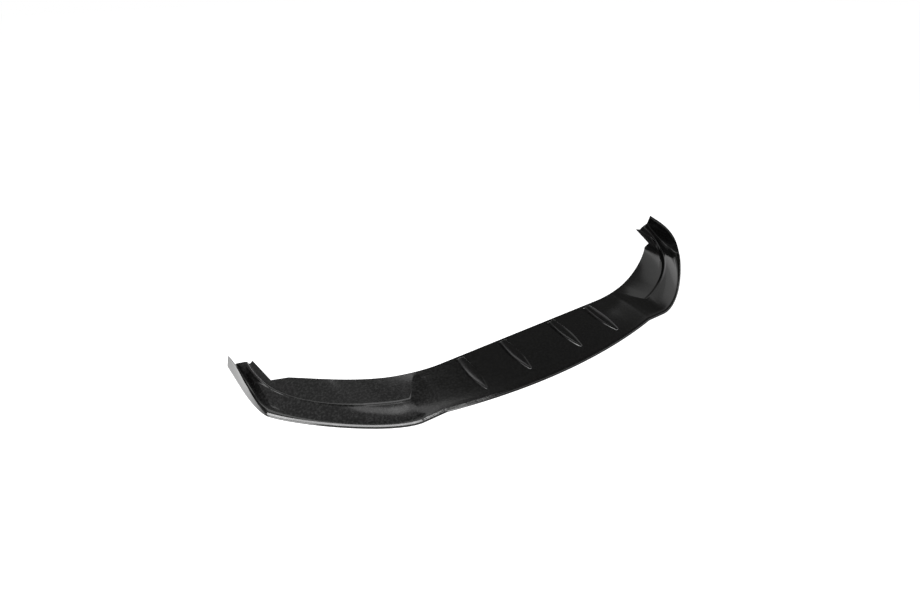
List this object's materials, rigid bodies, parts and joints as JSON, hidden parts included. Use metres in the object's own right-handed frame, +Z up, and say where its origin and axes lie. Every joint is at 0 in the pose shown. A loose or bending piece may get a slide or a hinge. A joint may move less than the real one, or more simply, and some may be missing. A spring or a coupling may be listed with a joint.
{
  "type": "front splitter lip",
  "caption": "Black moulded front splitter lip with a bowed blade, raised tapering fins, swept ends, stepped seats for the bumper and upswept winglets.",
  "frame": {"origin": "middle of the lip's width and depth, in the plane of the front rim's underside", "axes": "+X across the car, to the right in the view from the front; +Y back towards the car; +Z up"},
  "size_m": [1.782, 0.505, 0.097],
  "materials": {
    "body": "gloss"
  },
  "bodies": {
    "root": {"splitter_lip": "body"}
  },
  "joints": []
}
